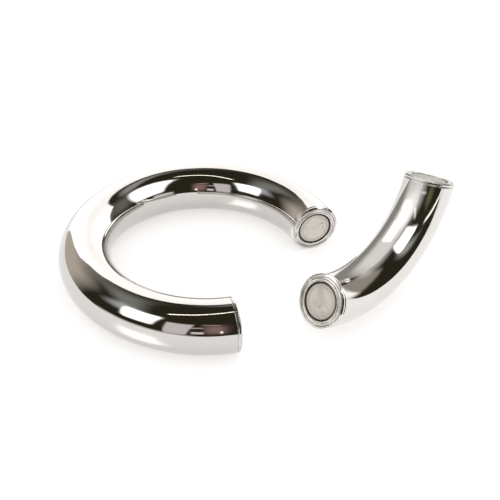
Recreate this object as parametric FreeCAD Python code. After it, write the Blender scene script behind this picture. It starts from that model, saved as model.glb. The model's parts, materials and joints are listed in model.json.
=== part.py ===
"""Two-piece magnetic ring, in millimetres, +Z up.

A bent steel tube forms three quarters of a ring and lies flat. A shorter length of the same
tube closes the ring. It lies apart, standing on its convex back. Each of the four tube ends
is closed by a turned steel cap, and each cap holds a disc magnet in a glue-lined pocket.

The origin is at the bottom centre of the whole object's box. The ring lies in the XY plane,
with its opening towards +X and -Y.
"""
import FreeCAD, Part
import math
import os

from FreeCAD import Placement, Rotation, Vector

# Ring and tube
RING_RADIUS = 35.0            # to the tube's centreline: 85 mm outside, 55 mm inside
TUBE_RADIUS = 7.5             # 15 mm outside diameter
TUBE_WALL = 1.5
OPENING_START = -73.1         # ring's front face, degrees about +Z from +X
OPENING_END = 20.9            # ring's back face
FACE_CLEARANCE = 0.1          # left at each joint when the ring is closed

# Where the closing piece stands, measured from the ring's axis
CLOSER_X = 40.0
CLOSER_Y = -13.4
CLOSER_HEADING = -44.5        # degrees, direction its bend axis points in plan
CLOSER_LEAN = 7.1             # degrees, bend axis above horizontal
CLOSER_ROLL = 21.6            # degrees, rocked along its back from level

# End cap, a turned cup with a plug that enters the tube
COLLAR_LENGTH = 1.0
FACE_BEVEL_RADIUS = 0.43
FACE_BEVEL_DEPTH = 0.35
SEAM_CHAMFER = 0.2            # makes a fine V groove where collar and tube meet
PLUG_RADIUS = 6.0
PLUG_LENGTH = 5.0
PLUG_CHAMFER = 0.4
PLUG_CLEARANCE = 0.02
SOCKET_EXTRA_DEPTH = 0.5
POCKET_RADIUS = 5.35
POCKET_DEPTH = 3.22

# Magnet and the glue round it
MAGNET_RADIUS = 5.0
MAGNET_THICKNESS = 3.0
MAGNET_RECESS = 0.1
MAGNET_CHAMFER = 0.25
MAGNET_CLEARANCE = 0.02
GLUE_RECESS = 0.55            # glue stops short of the face and leaves a fine dark gap

AXIS_X = Vector(1, 0, 0)
AXIS_Y = Vector(0, 1, 0)
AXIS_Z = Vector(0, 0, 1)
ORIGIN = Vector(0, 0, 0)
FULL_TURN = 360.0


def lathe(profile):
    """Turn a closed (radius, height) outline about Z."""
    points = [Vector(radius, 0, height) for radius, height in profile]
    outline = Part.makePolygon(points + points[:1])
    return Part.Face(outline).revolve(ORIGIN, AXIS_Z, FULL_TURN)


def bent_bar(radius, start, end):
    """Round bar bent about Z, from one angle to another."""
    circle = Part.makeCircle(radius, Vector(RING_RADIUS, 0, 0), AXIS_Y)
    bar = Part.Face(Part.Wire(circle)).revolve(ORIGIN, AXIS_Z, end - start)
    bar.rotate(ORIGIN, AXIS_Z, start)
    return bar


def end_placement(angle, side):
    """Frame of a tube end: origin on the centreline, +Z out of the tube, +X away from Z."""
    turn = Placement(ORIGIN, Rotation(AXIS_Z, angle))
    face = Placement(Vector(RING_RADIUS, 0, 0), Rotation(AXIS_X, -90.0 * side))
    return turn * face


def placed(shape, placement):
    """Copy of a shape moved from its own frame by a placement."""
    return shape.transformed(placement.toMatrix(), True)


def make_cap():
    """Collar flush with the tube, plug inside it, open pocket for the magnet."""
    plug_end = -COLLAR_LENGTH - PLUG_LENGTH
    return lathe([
        (0, -POCKET_DEPTH),
        (POCKET_RADIUS, -POCKET_DEPTH),
        (POCKET_RADIUS, 0),
        (TUBE_RADIUS - FACE_BEVEL_RADIUS, 0),
        (TUBE_RADIUS, -FACE_BEVEL_DEPTH),
        (TUBE_RADIUS, -COLLAR_LENGTH + SEAM_CHAMFER),
        (TUBE_RADIUS - SEAM_CHAMFER, -COLLAR_LENGTH),
        (PLUG_RADIUS, -COLLAR_LENGTH),
        (PLUG_RADIUS, plug_end + PLUG_CHAMFER),
        (PLUG_RADIUS - PLUG_CHAMFER, plug_end),
        (0, plug_end),
    ])


def make_magnet():
    """Disc magnet, just under the face of its cap."""
    top = -MAGNET_RECESS
    bottom = top - MAGNET_THICKNESS
    inner = MAGNET_RADIUS - MAGNET_CHAMFER
    return lathe([
        (0, bottom),
        (inner, bottom),
        (MAGNET_RADIUS, bottom + MAGNET_CHAMFER),
        (MAGNET_RADIUS, top - MAGNET_CHAMFER),
        (inner, top),
        (0, top),
    ])


def make_glue():
    """Thin cup of set adhesive between the magnet and its pocket."""
    inner = MAGNET_RADIUS + MAGNET_CLEARANCE
    floor = -MAGNET_RECESS - MAGNET_THICKNESS - MAGNET_CLEARANCE
    return lathe([
        (0, -POCKET_DEPTH),
        (POCKET_RADIUS, -POCKET_DEPTH),
        (POCKET_RADIUS, -GLUE_RECESS),
        (inner, -GLUE_RECESS),
        (inner, floor),
        (0, floor),
    ])


def make_socket_cutter():
    """Room for one cap in a tube end: collar space, seam chamfer and straight plug socket."""
    clear = TUBE_RADIUS + 2.0
    socket = PLUG_RADIUS + PLUG_CLEARANCE
    shoulder = TUBE_RADIUS - SEAM_CHAMFER
    socket_end = -COLLAR_LENGTH - PLUG_LENGTH - SOCKET_EXTRA_DEPTH
    past_face = 1.0
    return lathe([
        (0, socket_end),
        (socket, socket_end),
        (socket, -COLLAR_LENGTH),
        (shoulder, -COLLAR_LENGTH),
        (clear, -COLLAR_LENGTH - clear + shoulder),
        (clear, past_face),
        (0, past_face),
    ])


def make_tube(start, end):
    """Bent tube with both ends cut back and bored for the caps."""
    tube = bent_bar(TUBE_RADIUS, start, end).cut(bent_bar(TUBE_RADIUS - TUBE_WALL, start, end))
    cutter = make_socket_cutter()
    for angle, side in ((start, -1), (end, 1)):
        tube = tube.cut(placed(cutter, end_placement(angle, side)))
    return tube.Solids[0]


def make_piece(name, start, end, end_names):
    """A tube with a cap, glue and magnet in each end, as a dict of node name to shape."""
    fittings = {"cap": make_cap(), "glue": make_glue(), "magnet": make_magnet()}
    nodes = {f"{name}_tube": make_tube(start, end)}
    for end_name, angle, side in zip(end_names, (start, end), (-1, 1)):
        frame = end_placement(angle, side)
        for fitting, shape in fittings.items():
            nodes[f"{name}_{end_name}_{fitting}"] = placed(shape, frame)
    return nodes


def closer_placement():
    """Rest pose of the closing piece, from a frame with its bend axis on Z and its middle on X."""
    heading = Rotation(AXIS_Z, CLOSER_HEADING)
    upright = Rotation(AXIS_Y, 90.0 - CLOSER_LEAN)
    roll = Rotation(AXIS_Z, CLOSER_ROLL)
    height = RING_RADIUS * math.cos(math.radians(CLOSER_LEAN)) + TUBE_RADIUS
    return Placement(Vector(CLOSER_X, CLOSER_Y, height), heading * upright * roll)


def ring_placement():
    """Rest pose of the ring, lying flat, from a frame with its axis on Z."""
    return Placement(Vector(0, 0, TUBE_RADIUS), Rotation())


def standing_nodes():
    """All nodes as they stand on Z = 0, with the ring's axis on the Z axis."""
    ring = make_piece("ring", OPENING_END, OPENING_START + FULL_TURN, ("back", "front"))
    half_opening = (OPENING_END - OPENING_START) / 2
    half_closer = half_opening - math.degrees(FACE_CLEARANCE / RING_RADIUS)
    closer = make_piece("closer", -half_closer, half_closer, ("near", "far"))

    nodes = {name: placed(shape, ring_placement()) for name, shape in ring.items()}
    nodes.update({name: placed(shape, closer_placement()) for name, shape in closer.items()})
    return nodes


def origin_shift(nodes):
    """Move that brings the bottom centre of the whole box to the origin."""
    box = FreeCAD.BoundBox()
    for shape in nodes.values():
        box.add(shape.optimalBoundingBox())
    return Placement(Vector(-box.Center.x, -box.Center.y, -box.ZMin), Rotation())


def main():
    os.makedirs("parts", exist_ok=True)
    nodes = standing_nodes()
    to_origin = origin_shift(nodes)
    for node, shape in nodes.items():
        placed(shape, to_origin).exportStep(f"parts/{node}.step")
        print(f"{node}: {shape.Volume:.1f} mm3, valid {shape.isValid()}")


main()
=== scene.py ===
"""Looks for the two-piece magnetic ring: a polished bent tube in two lengths, with a turned cap,
a glue line and a disc magnet in each of the four ends. Lengths are in millimetres until a mesh
is made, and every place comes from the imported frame."""
import json
import math
from collections import namedtuple

import bpy
import numpy as np
from mathutils import Matrix, Vector


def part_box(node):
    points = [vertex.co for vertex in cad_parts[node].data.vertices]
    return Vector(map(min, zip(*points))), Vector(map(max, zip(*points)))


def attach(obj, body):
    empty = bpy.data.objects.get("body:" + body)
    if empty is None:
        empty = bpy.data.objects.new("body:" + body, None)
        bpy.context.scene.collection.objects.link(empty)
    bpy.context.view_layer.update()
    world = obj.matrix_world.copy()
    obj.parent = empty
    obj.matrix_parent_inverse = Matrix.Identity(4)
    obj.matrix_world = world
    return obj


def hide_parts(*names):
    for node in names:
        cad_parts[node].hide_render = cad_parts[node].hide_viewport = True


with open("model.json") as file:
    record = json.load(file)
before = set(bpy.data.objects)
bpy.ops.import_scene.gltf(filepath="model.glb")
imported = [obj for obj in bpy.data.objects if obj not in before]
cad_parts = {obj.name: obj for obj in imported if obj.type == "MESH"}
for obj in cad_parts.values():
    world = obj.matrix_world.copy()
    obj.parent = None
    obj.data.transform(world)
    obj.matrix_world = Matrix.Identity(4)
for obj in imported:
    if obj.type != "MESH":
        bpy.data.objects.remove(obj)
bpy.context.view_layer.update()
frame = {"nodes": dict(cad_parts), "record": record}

MM = 0.001                    # millimetres to metres
TAU = 2 * math.pi

# Turned parts, in the frame of a tube end: +Z out of the tube, zero at the face
COLLAR_LENGTH = 1.0
BEVEL_RADIUS = 0.43
BEVEL_DEPTH = 0.35
SEAM_CHAMFER = 0.2
PLUG_RADIUS = 6.0
PLUG_LENGTH = 5.0
PLUG_CHAMFER = 0.4
PLUG_CLEARANCE = 0.02
SOCKET_DEPTH = 6.5
BORE_RADIUS = 6.0
POCKET_RADIUS = 5.35
POCKET_DEPTH = 3.22
MAGNET_RADIUS = 5.0
MAGNET_THICKNESS = 3.0
MAGNET_RECESS = 0.1
MAGNET_CHAMFER = 0.25
MAGNET_CLEARANCE = 0.02
MAGNET_RINGS = (1.5, 3.2)     # radii of two rings of points on a magnet's face
GLUE_RECESS = 0.55
GLUE_EDGE = 0.05              # the glue lies lower by this much where it meets the pocket
FACE_GROOVES = (5.9, 6.5)     # radii of two fine turned grooves in the face of a cap
GROOVE_HALF_WIDTH = 0.14
GROOVE_DEPTH = 0.12

# Rounding of a turned part's corners
BEVEL_ROUND = 0.12
PLAIN_ROUND = 0.1
POCKET_ROUND = 0.07
FINE_ROUND = 0.05
GROOVE_ROUND = 0.03

# Camera, measured from the centre of the ring
CAMERA_OFFSET = Vector((13.1, -193.7, 139.6))
CAMERA_PITCH = 35.8           # degrees below the horizon
CAMERA_ROLL = 2.4
CAMERA_LENS = 58.3
CAMERA_NEAREST = 0.01         # metres

# Fineness of the meshes
TUBE_SIDES = 160              # points round the tube's section
TUBE_RINGS = 58               # rings for each radian of a tube's bend
TUBE_RINGS_LEAST = 24
BORE_SHARE = 3                # the bore has one ring for this many outside
BORE_RINGS_LEAST = 12
LATHE_SIDES = 128             # points round a turned part
CORNER_STEPS = 4              # steps of a rounded corner
CORNER_SHARE = 0.45           # share of a side that one rounded corner may take
SHARP_ANGLE = math.radians(38)
TINY = 1e-6                   # a smaller radius is a point on the axis

# A bent tube near its ends
SEAM_SHOULDER = 0.3           # from the seam's chamfer to a ring on the flat end face
CHAMFER_ROUND = 0.03          # to either side of the edge between end face and chamfer
LIP_INSETS = (0.04, 0.012)    # rings on the chamfer, just short of the outside
LIP_DEPTHS = (0.02, 0.06, 0.15, 0.4, 0.9)   # rings past the chamfer, which keep its highlight thin
FIRST_RING = 3.2              # from a face to the first evenly spaced ring, inside the bend
SOCKET_STEP = 0.5             # from a socket's corner to the ring that keeps it crisp
SOCKET_LEDGE = 0.4            # how far a socket's floor reaches inside the bore
BORE_START = 0.6              # from a socket's floor to the bore's first ring, inside the bend


# ---------------------------------------------------------------- places, from the frame

def node_points(node):
    """Vertices of a CAD node, in millimetres."""
    return np.array([v.co for v in frame["nodes"][node].data.vertices]) / MM


def end_frame(piece, end):
    """Face centre and outward direction of one tube end, from its magnet and cap."""
    magnet = node_points(f"{piece}_{end}_magnet")
    centre = (magnet.min(0) + magnet.max(0)) / 2
    spread = magnet - magnet.mean(0)
    outward = np.linalg.svd(spread, full_matrices=False)[2][2]
    cap = node_points(f"{piece}_{end}_cap")
    if np.dot(centre - (cap.min(0) + cap.max(0)) / 2, outward) < 0:
        outward = -outward
    return centre + outward * (MAGNET_THICKNESS / 2 + MAGNET_RECESS), outward


class Bend:
    """The circle that a bent tube follows, from its first end to its last."""

    def __init__(self, piece, first, last, radius):
        start, out_start = end_frame(piece, first)
        end, out_end = end_frame(piece, last)
        self.radius = radius
        # The cross product leaves the axis's sign open; the right one brings the circle to both ends
        best = None
        for sign in (1, -1):
            axis = np.cross(-out_start, out_end) * sign
            axis /= np.linalg.norm(axis)
            centre = start - radius * np.cross(-out_start, axis)
            miss = np.linalg.norm(centre + radius * np.cross(out_end, axis) - end)
            if best is None or miss < best[0]:
                best = (miss, axis, centre)
        _, self.axis, self.centre = best
        self.first_radial = (start - self.centre) / radius
        self.tangent = np.cross(self.axis, self.first_radial)
        across = end - self.centre
        self.span = math.atan2(across @ self.tangent, across @ self.first_radial) % TAU

    def radial(self, angle):
        """Direction from the bend's axis to the tube at an angle."""
        return math.cos(angle) * self.first_radial + math.sin(angle) * self.tangent

    def forward(self, angle):
        """Direction in which the tube runs at an angle."""
        return math.cos(angle) * self.tangent - math.sin(angle) * self.first_radial

    def end(self, at_last):
        """(origin, x, y, z) of an end frame: z out of the tube, x away from the bend axis."""
        angle = self.span if at_last else 0.0
        x = self.radial(angle)
        z = self.forward(angle) if at_last else -self.forward(angle)
        return self.centre + self.radius * x, x, np.cross(z, x), z


low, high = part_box("ring_tube")
TUBE_RADIUS = (high.z - low.z) / 2 / MM
RING_RADIUS = (high.y - low.y) / 2 / MM - TUBE_RADIUS
BENDS = {
    "ring": Bend("ring", "back", "front", RING_RADIUS),
    "closer": Bend("closer", "near", "far", RING_RADIUS),
}
ENDS = {"ring": ("back", "front"), "closer": ("near", "far")}
RING_CENTRE = Vector(BENDS["ring"].centre)

# Distance along a cap's outline, from the middle of its pocket, at which the flat face ends
FACE_END = POCKET_DEPTH + TUBE_RADIUS - BEVEL_RADIUS + 2 * len(FACE_GROOVES) * (
    math.hypot(GROOVE_HALF_WIDTH, GROOVE_DEPTH) - GROOVE_HALF_WIDTH)


# ---------------------------------------------------------------- meshes

def mesh_object(name, points, faces, uvs=None):
    """Smooth-shaded mesh from millimetre points, with one UV pair for each face corner."""
    mesh = bpy.data.meshes.new(name)
    mesh.from_pydata([tuple(p * MM) for p in points], [], faces)
    if uvs is not None:
        layer = mesh.uv_layers.new(name="turned")
        layer.data.foreach_set("uv", np.asarray(uvs, np.float32).ravel())
    mesh.shade_smooth()
    mesh.set_sharp_from_angle(angle=SHARP_ANGLE)
    mesh.validate()
    piece = bpy.data.objects.new(name, mesh)
    bpy.context.scene.collection.objects.link(piece)
    return piece


def fillet(profile):
    """Round the corners of an open outline of (radius, height, corner radius) points."""
    out = [np.array(profile[0][:2])]
    for before, corner, after in zip(profile, profile[1:], profile[2:]):
        a, b, c = (np.array(p[:2], float) for p in (before, corner, after))
        to_a, to_c = a - b, c - b
        len_a, len_c = np.linalg.norm(to_a), np.linalg.norm(to_c)
        if corner[2] == 0:
            out.append(b)
            continue
        cos_turn = np.clip(to_a @ to_c / (len_a * len_c), -1, 1)
        cut = min(corner[2] / math.tan(math.acos(cos_turn) / 2), CORNER_SHARE * len_a, CORNER_SHARE * len_c)
        first, last = b + to_a / len_a * cut, b + to_c / len_c * cut
        for t in np.linspace(0, 1, CORNER_STEPS + 1):
            out.append((1 - t) ** 2 * first + 2 * t * (1 - t) * b + t * t * last)
    out.append(np.array(profile[-1][:2]))
    return out


def lathe(name, profile, end):
    """Turn an outline about an end frame's Z. UV: u round the axis, v along the outline in mm."""
    origin, x, y, z = end
    outline = fillet(profile)
    strides = [np.linalg.norm(b - a) for a, b in zip(outline, outline[1:])]
    length = np.concatenate([[0], np.cumsum(strides)])
    angles = np.arange(LATHE_SIDES) * TAU / LATHE_SIDES
    points, rows = [], []
    for radius, height in outline:
        if radius < TINY:
            rows.append([len(points)] * LATHE_SIDES)
            points.append(origin + height * z)
            continue
        rows.append(list(range(len(points), len(points) + LATHE_SIDES)))
        points += [origin + radius * (math.cos(a) * x + math.sin(a) * y) + height * z for a in angles]
    faces, uvs = [], []
    for i in range(len(rows) - 1):
        for k in range(LATHE_SIDES):
            face = []   # four corners, or three where the outline meets the axis
            for turn, step in ((k, i), (k, i + 1), (k + 1, i + 1), (k + 1, i)):
                vertex = rows[step][turn % LATHE_SIDES]
                if vertex not in face:
                    face.append(vertex)
                    uvs.append((turn / LATHE_SIDES, length[step]))
            faces.append(face)
    return mesh_object(name, points, faces, uvs)


def bent_tube(name, bend):
    """Closed shell of a bent tube: outside, chamfered ends, straight sockets and bent bore."""
    turns = np.arange(TUBE_SIDES) * TAU / TUBE_SIDES
    cos_t, sin_t = np.cos(turns), np.sin(turns)

    def arc_ring(radius, angle):
        """Ring of the bent surface, square to the bend at an angle."""
        reach = np.outer(bend.radius + radius * cos_t, bend.radial(angle))
        return bend.centre + reach + np.outer(radius * sin_t, bend.axis)

    def depth_ring(at_last, radius, depth, straight):
        """Ring parallel to an end's face at a depth, on the bent surface or on a straight bore."""
        origin, x, _, z = bend.end(at_last)
        if straight:
            reach = radius * cos_t
        else:
            reach = np.sqrt((bend.radius + radius * cos_t) ** 2 - depth ** 2) - bend.radius
        return origin + np.outer(reach, x) + np.outer(radius * sin_t, bend.axis) - depth * z

    shoulder = TUBE_RADIUS - SEAM_CHAMFER
    lip = COLLAR_LENGTH + SEAM_CHAMFER
    socket = PLUG_RADIUS + PLUG_CLEARANCE
    # Rings near an end, from the socket's floor over the end face to the outside
    end_rings = [
        (BORE_RADIUS - SOCKET_LEDGE, SOCKET_DEPTH, False), (socket, SOCKET_DEPTH, True),
        (socket, SOCKET_DEPTH - SOCKET_STEP, True), (socket, COLLAR_LENGTH + SOCKET_STEP, True),
        (socket, COLLAR_LENGTH, True), (shoulder - SEAM_SHOULDER, COLLAR_LENGTH, False),
        (shoulder - CHAMFER_ROUND, COLLAR_LENGTH, False),
        (shoulder + CHAMFER_ROUND, COLLAR_LENGTH + CHAMFER_ROUND, False),
        *((TUBE_RADIUS - inset, lip - inset, False) for inset in LIP_INSETS),
        *((TUBE_RADIUS, lip + depth, False) for depth in LIP_DEPTHS),
    ]
    margin = FIRST_RING / (bend.radius - TUBE_RADIUS)
    steps = max(TUBE_RINGS_LEAST, round(bend.span * TUBE_RINGS))
    outside = np.linspace(margin, bend.span - margin, steps)
    margin = (SOCKET_DEPTH + BORE_START) / (bend.radius - BORE_RADIUS)
    bore = np.linspace(bend.span - margin, margin, max(BORE_RINGS_LEAST, steps // BORE_SHARE))

    rings = [depth_ring(False, *ring) for ring in end_rings]
    rings += [arc_ring(TUBE_RADIUS, angle) for angle in outside]
    rings += [depth_ring(True, *ring) for ring in reversed(end_rings)]
    rings += [arc_ring(BORE_RADIUS, angle) for angle in bore]

    faces = []
    for i in range(len(rings)):
        here, after = i * TUBE_SIDES, (i + 1) % len(rings) * TUBE_SIDES
        for k in range(TUBE_SIDES):
            j = (k + 1) % TUBE_SIDES
            faces.append((here + k, after + k, after + j, here + j))
    return mesh_object(name, np.concatenate(rings), faces)


def cap_profile():
    """Outline of a cap: pocket, grooved face, bevelled collar and plug."""
    plug_end = -COLLAR_LENGTH - PLUG_LENGTH
    grooves = []
    for radius in FACE_GROOVES:
        grooves += [(radius - GROOVE_HALF_WIDTH, 0, GROOVE_ROUND), (radius, -GROOVE_DEPTH, FINE_ROUND),
                    (radius + GROOVE_HALF_WIDTH, 0, GROOVE_ROUND)]
    return [
        (0, -POCKET_DEPTH, 0), (POCKET_RADIUS, -POCKET_DEPTH, PLAIN_ROUND), (POCKET_RADIUS, 0, POCKET_ROUND),
        *grooves,
        (TUBE_RADIUS - BEVEL_RADIUS, 0, BEVEL_ROUND), (TUBE_RADIUS, -BEVEL_DEPTH, BEVEL_ROUND),
        (TUBE_RADIUS, -COLLAR_LENGTH + SEAM_CHAMFER, FINE_ROUND),
        (TUBE_RADIUS - SEAM_CHAMFER, -COLLAR_LENGTH, 0), (PLUG_RADIUS, -COLLAR_LENGTH, 0),
        (PLUG_RADIUS, plug_end + PLUG_CHAMFER, PLAIN_ROUND),
        (PLUG_RADIUS - PLUG_CHAMFER, plug_end, PLAIN_ROUND), (0, plug_end, 0),
    ]


def magnet_profile():
    """Outline of a disc magnet. Two rings on its face keep the shading even."""
    top = -MAGNET_RECESS
    bottom = top - MAGNET_THICKNESS
    inner = MAGNET_RADIUS - MAGNET_CHAMFER
    return [
        (0, top, 0), *((radius, top, 0) for radius in MAGNET_RINGS), (inner, top, BEVEL_ROUND),
        (MAGNET_RADIUS, top - MAGNET_CHAMFER, BEVEL_ROUND),
        (MAGNET_RADIUS, bottom + MAGNET_CHAMFER, PLAIN_ROUND), (inner, bottom, PLAIN_ROUND), (0, bottom, 0),
    ]


def glue_profile():
    """Outline of the cup of glue between a magnet and its pocket."""
    inner = MAGNET_RADIUS + MAGNET_CLEARANCE
    floor = -MAGNET_RECESS - MAGNET_THICKNESS - MAGNET_CLEARANCE
    return [
        (0, floor, 0), (inner, floor, 0), (inner, -GLUE_RECESS, FINE_ROUND),
        (POCKET_RADIUS, -GLUE_RECESS - GLUE_EDGE, 0), (POCKET_RADIUS, -POCKET_DEPTH, 0),
        (0, -POCKET_DEPTH, 0),
    ]


# ---------------------------------------------------------------- materials

FACE_BLEND = (-0.03, 0.05)    # the turned face gives way to polish here, measured from its end
BEVEL_SHADE_RADII = (3.6, 3.9)       # radii over which a painted shade band, for a bevel that isn't modelled, fades in on a magnet's face
GAP_SHADE_BLEND = 0.10              # painted shade, which widens the dark gap ring, starts this far to either side of the magnet's chamfer
CLEAN_STEEL = (0.605, 0.588, 0.572)
HAZED_STEEL = (0.56, 0.545, 0.53)
# Turned rings on a cap face: real ring tone, spread darker and lighter than steel's own as painted shade and
# painted highlight
DARK_RING_AND_SHADE = (0.27, 0.255, 0.235)
LIGHT_RING_AND_HIGHLIGHT = (0.86, 0.845, 0.82)
GRAIN_STEEL = (0.80, 0.785, 0.76)
MAGNET_DARK = (0.49, 0.455, 0.41)
MAGNET_LIGHT = (0.61, 0.575, 0.525)
MAGNET_SCUFF = (0.68, 0.645, 0.595)
# painted shade of a bevel near a magnet's edge that isn't modelled
MAGNET_BEVEL_SHADE = (0.34, 0.305, 0.265)
MAGNET_PIT = (0.22, 0.20, 0.18)
# painted shade on a magnet's chamfer, which widens the dark gap ring around it
MAGNET_GAP_SHADE = (0.10, 0.088, 0.075)
GLUE_DARK = (0.010, 0.009, 0.007)
GLUE_LIGHT = (0.040, 0.034, 0.028)
MIX_SOCKETS = {"FLOAT": (2, 3, 0), "VECTOR": (4, 5, 1), "RGBA": (6, 7, 2)}   # inputs A and B, output


class Nodes:
    """Small helper to build a node tree in a few readable lines."""

    def __init__(self, tree):
        self.tree = tree
        tree.nodes.clear()

    def add(self, kind, inputs=None, **settings):
        """New node; inputs are links or values by socket, settings are the node's own properties."""
        node = self.tree.nodes.new(kind)
        for key, value in settings.items():
            setattr(node, key, value)
        for key, value in (inputs or {}).items():
            socket = node.inputs[key]
            if isinstance(value, bpy.types.NodeSocket):
                self.tree.links.new(value, socket)
            else:
                socket.default_value = value
        return node

    def times(self, a, b, plus=0.0):
        """a * b + plus."""
        return self.add("ShaderNodeMath", {0: a, 1: b, 2: plus}, operation="MULTIPLY_ADD").outputs[0]

    def absolute(self, value):
        """Value without its sign."""
        return self.add("ShaderNodeMath", {0: value}, operation="ABSOLUTE").outputs[0]

    def ramp(self, value, low, high, to_low=0.0, to_high=1.0):
        """Smooth step of a value from one range to another."""
        node = self.add("ShaderNodeMapRange", {0: value, 1: low, 2: high, 3: to_low, 4: to_high},
                        interpolation_type="SMOOTHSTEP")
        return node.outputs[0]

    def mix(self, factor, a, b, kind="RGBA"):
        """Blend of a and b, which are colours unless the kind says otherwise."""
        if kind == "RGBA":
            a, b = ((*value, 1.0) if isinstance(value, tuple) else value for value in (a, b))
        first, second, result = MIX_SOCKETS[kind]
        return self.add("ShaderNodeMix", {0: factor, first: a, second: b}, data_type=kind).outputs[result]

    def noise(self, vector, scale, detail, roughness, stretch=None):
        """Noise value at a point; stretch scales the point first."""
        if stretch is not None:
            vector = self.add("ShaderNodeMapping", {0: vector, 3: stretch}).outputs[0]
        return self.add("ShaderNodeTexNoise", {"Vector": vector, "Scale": scale, "Detail": detail,
                                               "Roughness": roughness}).outputs[0]

    def bump(self, height, strength, distance, normal=None):
        """Normal bent by a height; distance is in metres."""
        inputs = {"Height": height, "Strength": strength, "Distance": distance}
        if normal is not None:
            inputs["Normal"] = normal
        return self.add("ShaderNodeBump", inputs).outputs[0]


def new_material(name):
    """Empty material and the helper that fills its node tree."""
    material = bpy.data.materials.new(name)
    material.use_nodes = True
    return material, Nodes(material.node_tree)


def finish_material(nodes, **inputs):
    """Principled shader and output; keyword names are socket names with spaces as underscores."""
    shader = nodes.add("ShaderNodeBsdfPrincipled", {k.replace("_", " "): v for k, v in inputs.items()})
    nodes.add("ShaderNodeOutputMaterial", {0: shader.outputs[0]})


def polish(n, place):
    """Colour, roughness and normal of mirror-polished steel."""
    haze = n.ramp(n.noise(place, scale=70, detail=4, roughness=0.6), low=0.42, high=0.78)
    fine = n.noise(place, scale=1400, detail=2, roughness=0.5, stretch=(1.0, 1.0, 0.12))
    hairs = n.ramp(fine, low=0.56, high=0.70)
    waves = n.noise(place, scale=85, detail=1.5, roughness=0.4)
    colour = n.mix(haze, CLEAN_STEEL, HAZED_STEEL)
    roughness = n.times(haze, 0.04, plus=n.times(hairs, 0.03, plus=0.045))
    wavy = n.bump(waves, strength=0.14, distance=0.0009)
    return colour, roughness, n.bump(hairs, strength=0.03, distance=0.00003, normal=wavy)


def polished_steel():
    """Mirror polish: faint waviness, handling haze and hairline scratches."""
    material, n = new_material("polished_steel")
    place = n.add("ShaderNodeTexCoord").outputs["Object"]
    colour, roughness, normal = polish(n, place)
    finish_material(n, Base_Color=colour, Metallic=1.0, Roughness=roughness, Normal=normal)
    return material


def turned_steel():
    """Satin rings on the face of a cap, their dark and light tones partly painted shade and painted
    highlight; its bevel and side are polished with the tube.
    """
    material, n = new_material("turned_steel")
    place = n.add("ShaderNodeTexCoord").outputs["Object"]
    uv = n.add("ShaderNodeUVMap", uv_map="turned").outputs[0]
    along = n.add("ShaderNodeSeparateXYZ", {0: uv}).outputs["Y"]
    side = n.ramp(along, FACE_END + FACE_BLEND[0], FACE_END + FACE_BLEND[1])
    rings = n.noise(uv, scale=2.6, detail=5, roughness=0.7, stretch=(0.8, 1.0, 1.0))
    grain = n.noise(place, scale=500, detail=4, roughness=0.6)
    # painted shade and painted highlight: the rings' dark and light tones reach past steel's own and stand
    # for the face's reflections
    face_tone_and_painted_light = n.mix(n.ramp(rings, low=0.42, high=0.58), DARK_RING_AND_SHADE, LIGHT_RING_AND_HIGHLIGHT)
    face_tone_and_painted_light = n.mix(n.ramp(grain, low=0.5, high=0.75), face_tone_and_painted_light, GRAIN_STEEL)
    polished, polished_roughness, polished_normal = polish(n, place)
    face_roughness = n.times(grain, 0.16, plus=0.20)
    ringed = n.bump(rings, strength=0.8, distance=0.00010)
    face_normal = n.bump(grain, strength=0.15, distance=0.00005, normal=ringed)
    colour = n.mix(side, face_tone_and_painted_light, polished)
    roughness = n.mix(side, face_roughness, polished_roughness, "FLOAT")
    normal = n.mix(side, face_normal, polished_normal, "VECTOR")
    finish_material(n, Base_Color=colour, Metallic=1.0, Roughness=roughness, Normal=normal)
    return material


def magnet_face():
    """Matt plating on the magnets: mottled, lightly scuffed, pitted; a painted shade band inside the edge,
    and painted shade on the chamfer that widens the dark gap ring.
    """
    material, n = new_material("magnet_face")
    place = n.add("ShaderNodeTexCoord").outputs["Object"]
    uv = n.add("ShaderNodeUVMap", uv_map="turned").outputs[0]
    along = n.add("ShaderNodeSeparateXYZ", {0: uv}).outputs["Y"]
    flat_end = MAGNET_RADIUS - MAGNET_CHAMFER
    # painted shade: the chamfer turns near black, so the dark gap ring round the magnet looks wider
    gap_shade = n.ramp(along, flat_end - GAP_SHADE_BLEND, flat_end + GAP_SHADE_BLEND)
    cloud = n.noise(place, scale=190, detail=4, roughness=0.55)
    streaks = n.noise(place, scale=500, detail=4, roughness=0.7, stretch=(1.0, 0.22, 1.0))
    cells = n.add("ShaderNodeTexVoronoi", {"Vector": place, "Scale": 700.0}, feature="F1")
    worn = n.ramp(n.noise(place, scale=160, detail=2, roughness=0.5), low=0.48, high=0.62)
    pits = n.times(n.ramp(cells.outputs["Distance"], low=0.10, high=0.24, to_low=1.0, to_high=0.0), worn)
    # painted shade: a mottled darker band towards the magnet's edge, standing for its unmodelled bevel
    bevel_shade = n.times(n.ramp(along, *BEVEL_SHADE_RADII), n.times(cloud, 0.5, plus=0.1))
    colour = n.mix(n.ramp(cloud, low=0.35, high=0.65), MAGNET_DARK, MAGNET_LIGHT)
    colour = n.mix(n.ramp(streaks, low=0.54, high=0.72), colour, MAGNET_SCUFF)
    colour = n.mix(bevel_shade, colour, MAGNET_BEVEL_SHADE)
    colour = n.mix(pits, colour, MAGNET_PIT)
    colour = n.mix(gap_shade, colour, MAGNET_GAP_SHADE)
    roughness = n.times(cloud, 0.2, plus=0.40)
    uneven = n.bump(cloud, strength=0.3, distance=0.00012)
    normal = n.bump(pits, strength=0.4, distance=-0.00006, normal=uneven)
    finish_material(n, Base_Color=colour, Metallic=0.15, Roughness=roughness, Normal=normal)
    return material


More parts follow.
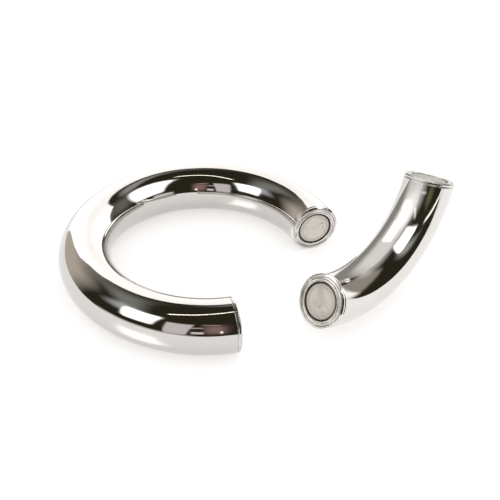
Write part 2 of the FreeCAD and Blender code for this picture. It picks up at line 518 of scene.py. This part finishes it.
def set_glue():
    """Dark adhesive that has set a little unevenly in the gap."""
    material, n = new_material("set_glue")
    place = n.add("ShaderNodeTexCoord").outputs["Object"]
    lumps = n.noise(place, scale=600, detail=4, roughness=0.6)
    colour = n.mix(lumps, GLUE_DARK, GLUE_LIGHT)
    roughness = n.times(lumps, 0.3, plus=0.45)
    normal = n.bump(lumps, strength=0.6, distance=0.0001)
    finish_material(n, Base_Color=colour, Roughness=roughness, Normal=normal)
    return material


# ---------------------------------------------------------------- the object

MATERIALS = {make.__name__: make() for make in (polished_steel, turned_steel, magnet_face, set_glue)}
FITTINGS = {"cap": (cap_profile(), "turned_steel"), "magnet": (magnet_profile(), "magnet_face"),
            "glue": (glue_profile(), "set_glue")}
BODY_OF = {node: body for body, nodes in frame["record"]["behaviour"]["bodies"].items() for node in nodes}


def dress(piece, node, slot):
    """Give a new piece its material and its CAD node's body, and let it stand for that node."""
    piece.data.materials.append(MATERIALS[slot])
    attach(piece, BODY_OF[node])
    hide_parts(node)


def build_piece(name):
    """One bent tube with the fittings of both its ends."""
    bend = BENDS[name]
    pieces = [bent_tube(f"{name}_tube_polished", bend)]
    dress(pieces[0], f"{name}_tube", "polished_steel")
    for at_last, end_name in enumerate(ENDS[name]):
        for fitting, (profile, slot) in FITTINGS.items():
            node = f"{name}_{end_name}_{fitting}"
            pieces.append(lathe(f"{node}_turned", profile, bend.end(bool(at_last))))
            dress(pieces[-1], node, slot)
    return pieces


# ---------------------------------------------------------------- studio

# A studio panel as a piece sees it: azimuth from straight behind the ring towards the right,
# elevation, half width, half height and clockwise turn, in degrees; the share of it that is soft
# edge; colour and radiance
Panel = namedtuple("Panel", "azimuth elevation wide tall turn soft colour strength")
WHITE = (1.0, 1.0, 0.98)
WALL = (1.0, 0.98, 0.96)
RING_PANELS = {
    "window": Panel(-129, 38, 14, 20, 12, 0.40, WHITE, 2.6),
    "window_glow": Panel(-108, 44, 15, 18, 0, 0.90, (0.92, 0.96, 1.0), 0.42),
    "grey_screen": Panel(-163, 26, 9, 22, 0, 0.25, (1.0, 0.93, 0.95), 0.62),
    "far_floor": Panel(-140, 2, 40, 5, 0, 0.50, WHITE, 0.55),
    "taupe_wall": Panel(-45, 0, 47, 53, 0, 0.68, (0.50, 0.45, 0.39), 0.95),
    "back_sweep": Panel(4, 0, 45, 47, 0, 0.06, (1.0, 0.985, 0.975), 1.22),
    "sweep_glow": Panel(30, 0, 26, 46, 0, 0.85, WHITE, 0.60),
    "sweep_top": Panel(24, 56, 22, 7, 0, 0.90, WHITE, 0.32),
    "side_box": Panel(99, 43, 21, 28, -22, 0.40, WHITE, 2.6),
    "side_fill": Panel(66, 30, 24, 30, 0, 0.90, WHITE, 0.12),
    "low_right": Panel(126, 6, 15, 12, 0, 0.40, (1.0, 0.98, 0.94), 0.65),
    "upper_left": Panel(-70, 60, 36, 13, 0, 0.90, (0.95, 1.0, 0.92), 0.20),
    "brown_shelf": Panel(169, 26, 11, 24, 0, 0.80, (0.24, 0.15, 0.14), 1.0),
    "shelf_top": Panel(-177, 33, 5, 2.5, 10, 0.50, (1.0, 0.9, 0.9), 0.45),
    "shelf_box": Panel(-178, 14, 5, 5, 0, 0.40, (1.0, 0.92, 0.90), 0.75),
    "shelf_edge": Panel(172, 44, 7, 1.5, -15, 0.50, (1.0, 0.8, 0.75), 0.35),
    "small_glint": Panel(165, 15, 1.6, 5, 0, 0.40, WHITE, 1.2),
}
CLOSER_PANELS = {
    "near_wall": Panel(-56, 12, 84, 84, 0, 0.03, WALL, 0.27),
    "wall_high": Panel(-35, 66, 58, 44, 0, 0.75, WALL, 0.58),
    "wall_left": Panel(-118, 26, 50, 44, 0, 0.65, WALL, 0.46),
    "wall_glow": Panel(-112, 48, 38, 36, 0, 0.90, WHITE, 0.50),
    "wall_window": Panel(-64, 57, 13, 20, -32, 0.35, WHITE, 1.3),
    "wall_streak": Panel(-92, 33, 22, 6, 25, 0.70, WHITE, 0.40),
    "taupe_wall": Panel(64, 28, 22, 30, 0, 0.45, (0.50, 0.46, 0.41), 0.62),
    "low_right": Panel(62, 0, 22, 17, 0, 0.40, WHITE, 0.95),
    "window": Panel(147, 60, 15, 21, 27, 0.40, WHITE, 3.2),
    "window_glow": Panel(124, 36, 12, 20, 0, 0.90, WHITE, 0.35),
    "door_gap": Panel(134, 12, 2.2, 15, 25, 0.40, (1.0, 1.0, 0.92), 1.5),
    "olive_screen": Panel(168, 22, 16, 12, 0, 0.80, (0.10, 0.10, 0.05), 1.0),
    "shelf_top": Panel(-164, 48, 13, 2.5, 10, 0.50, WHITE, 0.65),
    "shelf_low": Panel(-161, 27, 13, 2.0, -8, 0.50, WHITE, 0.45),
}
FLOOR_WINDOW = Panel(-131, 39, 16, 21, 12, 0.45, WHITE, 16.0)   # seen only in the floor's gloss
PANEL_DISTANCE = 3.0          # metres
WIDEST_PANEL = 60             # degrees; a wider panel stands nearer, so that it isn't huge
NEAR_SHARE = 0.25             # its share of the distance
AREA_FACTOR = 4.0             # watts that give an area light of one square metre unit radiance

BOUNCE_SIZE = 0.6             # metres, like the next three
BOUNCE_OVERLAP = 0.05         # reaches this far under the closer
BOUNCE_SHIFT = 0.15           # towards the back
BOUNCE_HEIGHT = 0.0001
BOUNCE_STRENGTH = 0.18

STRIP_HEIGHT = 1.2            # metres
STRIP_WIDTH = 0.036
STRIP_FIRST = Vector((-0.275, -0.223, 1.0))   # towards its ends, from the middle of the floor
STRIP_LAST = Vector((0.20, 0.082, 1.0))
STRIP_STRENGTH = 3.0
STRIP_COLOUR = (1.0, 0.95, 0.84)

ROOM = (0.030, 0.026, 0.016)  # what polished faces mirror above the horizon
HORIZON = (0.98, 0.95, 0.93)  # and below it, past the floor
HORIZON_BAND = (-0.01, 0.02)  # heights of a direction between which the two blend
FILL = (0.91, 0.905, 0.90)    # light on everything matt
BACKDROP = (1.1, 1.1, 1.1)    # what the camera sees behind the floor

FLOOR_HALF = 6.0              # metres
FLOOR_PAINT = (0.86, 0.855, 0.85)
FLOOR_GLOSS = 0.05
FLOOR_ROUGHNESS = 0.2
FLOOR_LIGHT = (1.0, 0.995, 0.99)   # glow of its own, which keeps the floor near white
FLOOR_STRENGTH = 0.42


def studio_world():
    """Dark room in the reflections, plain pale light on everything matt, white for the camera."""
    world = bpy.data.worlds.new("studio")
    world.use_nodes = True
    bpy.context.scene.world = world
    n = Nodes(world.node_tree)
    direction = n.add("ShaderNodeTexCoord").outputs["Generated"]
    height = n.add("ShaderNodeSeparateXYZ", {0: direction}).outputs["Z"]
    room = n.mix(n.ramp(height, *HORIZON_BAND), HORIZON, ROOM)
    ray = n.add("ShaderNodeLightPath").outputs
    pale = n.mix(ray["Is Camera Ray"], FILL, BACKDROP)
    background = n.add("ShaderNodeBackground", {0: n.mix(ray["Is Glossy Ray"], pale, room), 1: 1.0})
    n.add("ShaderNodeOutputWorld", {0: background.outputs[0]})


def receivers(name, pieces):
    """Collection that limits a light to some pieces."""
    collection = bpy.data.collections.new(name)
    for piece in pieces:
        collection.objects.link(piece)
    return collection


def area_light(name, place, x, y, size, radiance, lit):
    """Area light with its sides along x and y, shining against their cross product."""
    lamp = bpy.data.lights.new(name, "AREA")
    lamp.shape = "RECTANGLE"
    lamp.size, lamp.size_y = size
    lamp.energy = AREA_FACTOR * lamp.size * lamp.size_y * radiance
    holder = bpy.data.objects.new(name, lamp)
    holder.matrix_world = Matrix.Translation(place) @ Matrix((x, y, x.cross(y))).transposed().to_4x4()
    holder.light_linking.receiver_collection = lit
    holder.visible_camera = False
    bpy.context.scene.collection.objects.link(holder)
    return holder


def soft_edges(lamp, place, spec, sides):
    """Fade a panel towards its edges; sides are its (direction, half length) pairs."""
    lamp.use_nodes = True
    n = Nodes(lamp.node_tree)
    point = n.add("ShaderNodeNewGeometry").outputs["Position"]
    offset = n.add("ShaderNodeVectorMath", {0: point, 1: place}, operation="SUBTRACT").outputs["Vector"]
    level = spec.strength
    for axis, half in sides:
        along = n.add("ShaderNodeVectorMath", {0: offset, 1: axis}, operation="DOT_PRODUCT").outputs["Value"]
        fade = n.ramp(n.absolute(along), half * (1 - spec.soft), half, to_low=1.0, to_high=0.0)
        level = n.times(level, fade)
    glow = n.add("ShaderNodeEmission", {"Color": (*spec.colour, 1.0), "Strength": level})
    n.add("ShaderNodeOutputLight", {0: glow.outputs[0]})


def studio_panel(name, spec, lit, matt):
    """Panel that faces the middle of the floor; matt says whether it also lights matt faces."""
    azimuth, elevation, turn = (math.radians(v) for v in (spec.azimuth, spec.elevation, spec.turn))
    distance = PANEL_DISTANCE if max(spec.wide, spec.tall) < WIDEST_PANEL else NEAR_SHARE * PANEL_DISTANCE
    ahead = Vector((math.sin(azimuth) * math.cos(elevation), math.cos(azimuth) * math.cos(elevation),
                    math.sin(elevation)))
    level_right = -Vector((0, 0, 1)).cross(ahead).normalized()
    level_up = level_right.cross(ahead)
    right = math.cos(turn) * level_right - math.sin(turn) * level_up
    up = math.sin(turn) * level_right + math.cos(turn) * level_up
    wide, tall = (distance * math.tan(math.radians(half)) for half in (spec.wide, spec.tall))
    holder = area_light(name, distance * ahead, -right, up, (2 * wide, 2 * tall), 1.0, lit)
    holder.visible_diffuse = matt
    soft_edges(holder.data, distance * ahead, spec, ((right, wide), (up, tall)))


def studio_panels(prefix, panels, lit, matt):
    """One light for each panel of a table."""
    for name, spec in panels.items():
        studio_panel(f"{prefix}_{name}", spec, lit, matt)


def bounce(lit):
    """Bright patch of floor that only the closing piece sees, beside its outer side."""
    low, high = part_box("closer_tube")
    x = high.x + BOUNCE_SIZE / 2 - BOUNCE_OVERLAP
    place = Vector((x, (low.y + high.y) / 2 + BOUNCE_SHIFT, BOUNCE_HEIGHT))
    size = (BOUNCE_SIZE, BOUNCE_SIZE)
    area_light("closer_bounce", place, Vector((1, 0, 0)), Vector((0, -1, 0)), size, BOUNCE_STRENGTH, lit)


def ceiling_strip(lit):
    """Long thin lamp, nearly overhead."""
    first, last = STRIP_FIRST * STRIP_HEIGHT, STRIP_LAST * STRIP_HEIGHT
    along = (last - first).normalized()
    across = Vector((0, 0, 1)).cross(along)
    size = ((last - first).length, STRIP_WIDTH)
    holder = area_light("ceiling_strip", (first + last) / 2, along, across, size, STRIP_STRENGTH, lit)
    holder.data.color = STRIP_COLOUR


def floor():
    """Pale floor, faintly glossy, with a little light of its own."""
    mesh = bpy.data.meshes.new("floor")
    corners = [(-FLOOR_HALF, -FLOOR_HALF, 0), (FLOOR_HALF, -FLOOR_HALF, 0),
               (FLOOR_HALF, FLOOR_HALF, 0), (-FLOOR_HALF, FLOOR_HALF, 0)]
    mesh.from_pydata(corners, [], [(0, 1, 2, 3)])
    piece = bpy.data.objects.new("floor", mesh)
    bpy.context.scene.collection.objects.link(piece)
    material, n = new_material("pale_floor")
    matt = n.add("ShaderNodeBsdfDiffuse", {"Color": (*FLOOR_PAINT, 1.0)}).outputs[0]
    gloss = n.add("ShaderNodeBsdfGlossy", {"Roughness": FLOOR_ROUGHNESS}).outputs[0]
    light = n.add("ShaderNodeEmission", {"Color": (*FLOOR_LIGHT, 1.0), "Strength": FLOOR_STRENGTH}).outputs[0]
    sheen = n.add("ShaderNodeMixShader", {0: FLOOR_GLOSS, 1: matt, 2: gloss}).outputs[0]
    n.add("ShaderNodeOutputMaterial", {0: n.add("ShaderNodeAddShader", {0: sheen, 1: light}).outputs[0]})
    mesh.materials.append(material)
    return piece


def camera():
    """Camera at the photograph's viewing angle."""
    data = bpy.data.cameras.new("camera")
    data.lens = CAMERA_LENS
    data.clip_start = CAMERA_NEAREST
    view = bpy.data.objects.new("camera", data)
    pitch = Matrix.Rotation(math.radians(90 - CAMERA_PITCH), 4, "X")
    roll = Matrix.Rotation(math.radians(CAMERA_ROLL), 4, "Z")
    view.matrix_world = Matrix.Translation((RING_CENTRE + CAMERA_OFFSET) * MM) @ pitch @ roll
    bpy.context.scene.collection.objects.link(view)
    bpy.context.scene.camera = view


ring_pieces = receivers("ring_pieces", build_piece("ring"))
closer_pieces = receivers("closer_pieces", build_piece("closer"))
studio_world()
studio_panels("ring", RING_PANELS, ring_pieces, matt=True)
studio_panels("closer", CLOSER_PANELS, closer_pieces, matt=False)
ceiling_strip(ring_pieces)
bounce(closer_pieces)
studio_panels("floor", {"window": FLOOR_WINDOW}, receivers("floor_only", [floor()]), matt=False)
camera()
bpy.context.scene.view_settings.view_transform = "Standard"
